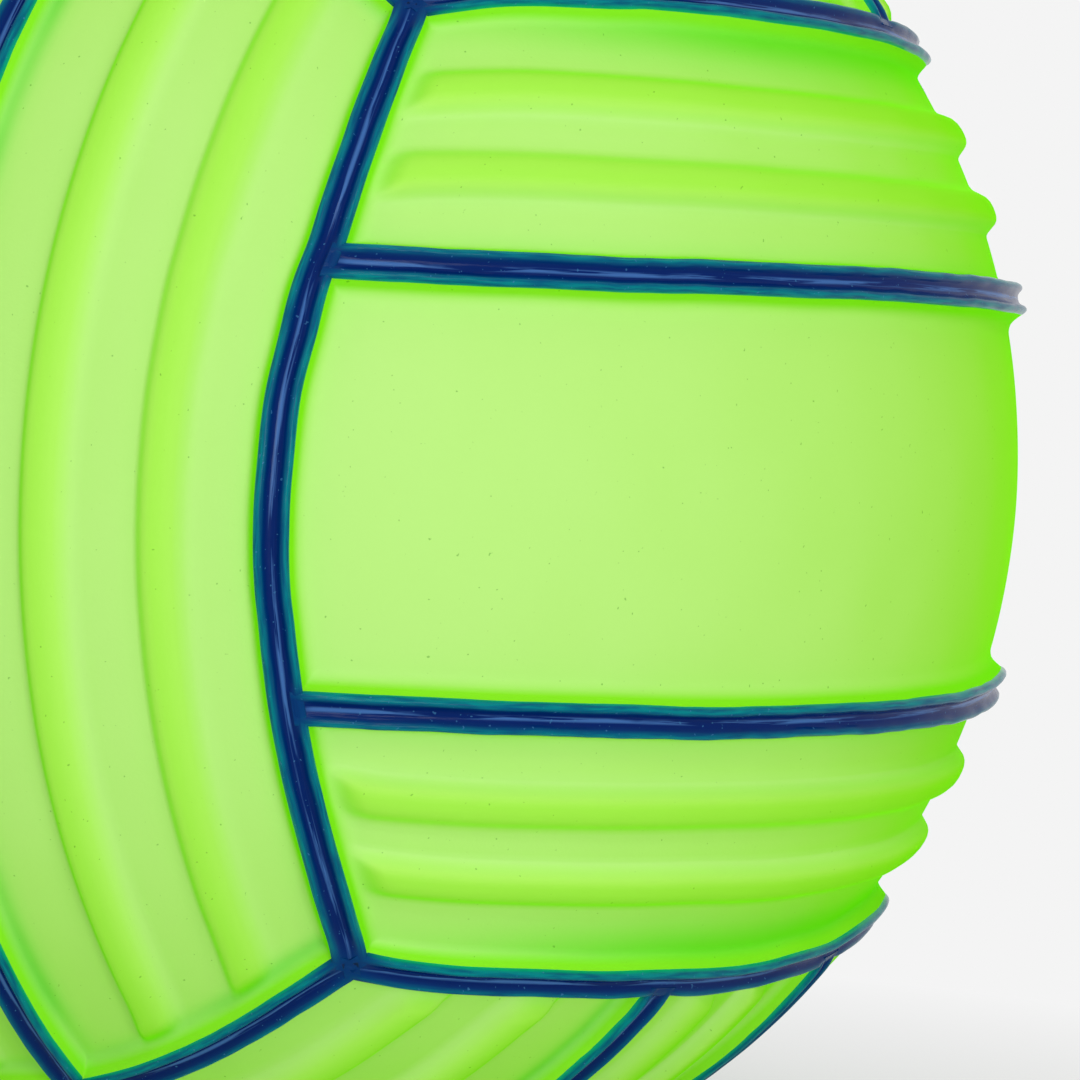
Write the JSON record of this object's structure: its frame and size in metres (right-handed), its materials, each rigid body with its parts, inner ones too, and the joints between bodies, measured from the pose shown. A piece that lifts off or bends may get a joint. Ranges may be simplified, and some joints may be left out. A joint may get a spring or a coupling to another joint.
{
  "type": "water polo ball",
  "caption": "Neon green water polo ball with ribbed rubber cover panels, raised navy seam strips, a wound and backed bladder, and a needle valve.",
  "frame": {"origin": "centre of the ball", "axes": "+Z through the middle panel of the top group, +X through the plain middle panel of the right group, -X out along the valve"},
  "size_m": [0.2159, 0.22, 0.22],
  "materials": {
    "panel_rubber": "satin neon yellow-green rubber with a fine grain",
    "strip_rubber": "satin navy rubber with a fine grain",
    "backing_rubber": "matte pale rubber",
    "winding_thread": "wound nylon thread in cement",
    "bladder_rubber": "matte black butyl",
    "valve_rubber": "matte black rubber",
    "core_rubber": "satin navy rubber"
  },
  "bodies": {
    "root": {"bladder": "bladder_rubber", "thread_winding": "winding_thread", "backing_layer": "backing_rubber", "valve_housing": "valve_rubber", "valve_core": "core_rubber", "right_lower_panel": "panel_rubber", "right_middle_panel": "panel_rubber", "right_upper_panel": "panel_rubber", "left_lower_panel": "panel_rubber", "left_middle_panel": "panel_rubber", "left_upper_panel": "panel_rubber", "back_left_panel": "panel_rubber", "back_middle_panel": "panel_rubber", "back_right_panel": "panel_rubber", "front_left_panel": "panel_rubber", "front_middle_panel": "panel_rubber", "front_right_panel": "panel_rubber", "top_front_panel": "panel_rubber", "top_middle_panel": "panel_rubber", "top_back_panel": "panel_rubber", "bottom_front_panel": "panel_rubber", "bottom_middle_panel": "panel_rubber", "bottom_back_panel": "panel_rubber", "right_lower_inner_strip": "strip_rubber", "right_upper_inner_strip": "strip_rubber", "left_lower_inner_strip": "strip_rubber", "left_upper_inner_strip": "strip_rubber", "back_left_inner_strip": "strip_rubber", "back_right_inner_strip": "strip_rubber", "front_left_inner_strip": "strip_rubber", "front_right_inner_strip": "strip_rubber", "top_front_inner_strip": "strip_rubber", "top_back_inner_strip": "strip_rubber", "bottom_front_inner_strip": "strip_rubber", "bottom_back_inner_strip": "strip_rubber", "top_right_edge_strip": "strip_rubber", "top_left_edge_strip": "strip_rubber", "bottom_right_edge_strip": "strip_rubber", "bottom_left_edge_strip": "strip_rubber", "back_right_edge_strip": "strip_rubber", "front_right_edge_strip": "strip_rubber", "back_left_edge_strip": "strip_rubber", "front_left_edge_strip": "strip_rubber", "top_back_edge_strip": "strip_rubber", "bottom_back_edge_strip": "strip_rubber", "top_front_edge_strip": "strip_rubber", "bottom_front_edge_strip": "strip_rubber"}
  },
  "joints": []
}
